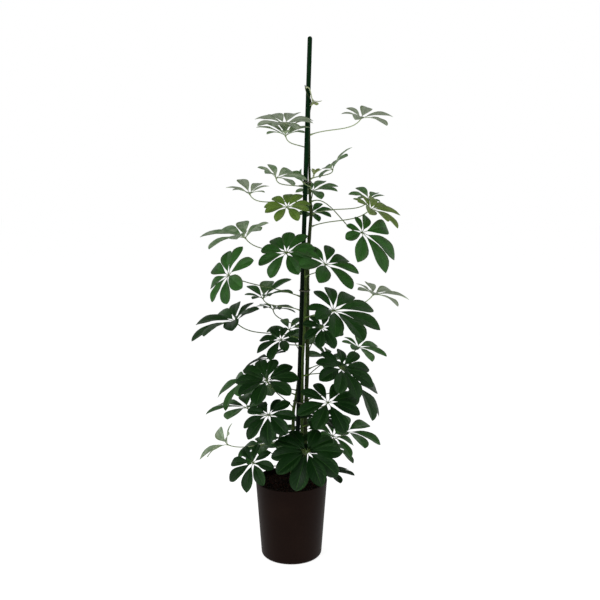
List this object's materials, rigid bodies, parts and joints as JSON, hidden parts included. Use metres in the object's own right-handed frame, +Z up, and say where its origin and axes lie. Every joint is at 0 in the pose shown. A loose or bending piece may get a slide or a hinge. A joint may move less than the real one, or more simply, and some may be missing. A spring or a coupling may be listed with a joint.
{
  "type": "potted umbrella plant",
  "caption": "Umbrella plant with palmate leaves on long petioles, its stems tied to a tall garden stake, in clay granules in a plain tapered round pot.",
  "frame": {"origin": "centre of the pot's flat underside", "axes": "+Z up along the pot's axis, -Y towards the viewer of the picture, +X to the viewer's right"},
  "size_m": [0.5283, 0.3707, 1.2754],
  "materials": {
    "pot_plastic": "satin dark brown moulded plastic",
    "clay_granules": null,
    "stake_coating": "dark green plastic coating with small nubs",
    "stem_bark": "green-brown young bark with leaf scars",
    "tie_cord": "matte twisted cord",
    "leaf_green": null,
    "young_leaf": null
  },
  "bodies": {
    "root": {"pot": "pot_plastic", "clay_granules": "clay_granules", "stake": "stake_coating", "stem_leader": "stem_bark", "stem_front": "stem_bark", "stem_left": "stem_bark", "tie_upper": "tie_cord", "tie_middle": "tie_cord", "tie_lower": "tie_cord", "young_leaf_top": "young_leaf", "young_leaf_side": "young_leaf", "leaf_01": "leaf_green", "leaf_02": "leaf_green", "leaf_03": "leaf_green", "leaf_04": "leaf_green", "leaf_05": "leaf_green", "leaf_06": "leaf_green", "leaf_07": "leaf_green", "leaf_08": "leaf_green", "leaf_09": "leaf_green", "leaf_10": "leaf_green", "leaf_11": "leaf_green", "leaf_12": "leaf_green", "leaf_13": "leaf_green", "leaf_14": "leaf_green", "leaf_15": "leaf_green", "leaf_16": "leaf_green", "leaf_17": "leaf_green", "leaf_18": "leaf_green", "leaf_19": "leaf_green", "leaf_20": "leaf_green", "leaf_21": "leaf_green", "leaf_22": "leaf_green", "leaf_23": "leaf_green", "leaf_24": "leaf_green", "leaf_25": "leaf_green", "leaf_26": "leaf_green", "leaf_27": "leaf_green", "leaf_28": "leaf_green", "leaf_29": "leaf_green", "leaf_30": "leaf_green", "leaf_31": "leaf_green", "leaf_32": "leaf_green", "leaf_33": "leaf_green", "leaf_34": "leaf_green", "leaf_35": "leaf_green", "leaf_36": "leaf_green", "leaf_37": "leaf_green", "leaf_38": "leaf_green", "leaf_39": "leaf_green", "leaf_40": "leaf_green", "leaf_41": "leaf_green", "leaf_42": "leaf_green", "leaf_43": "leaf_green", "leaf_44": "leaf_green", "leaf_45": "leaf_green", "leaf_46": "leaf_green", "leaf_47": "leaf_green", "leaf_48": "leaf_green", "leaf_49": "leaf_green"}
  },
  "joints": []
}
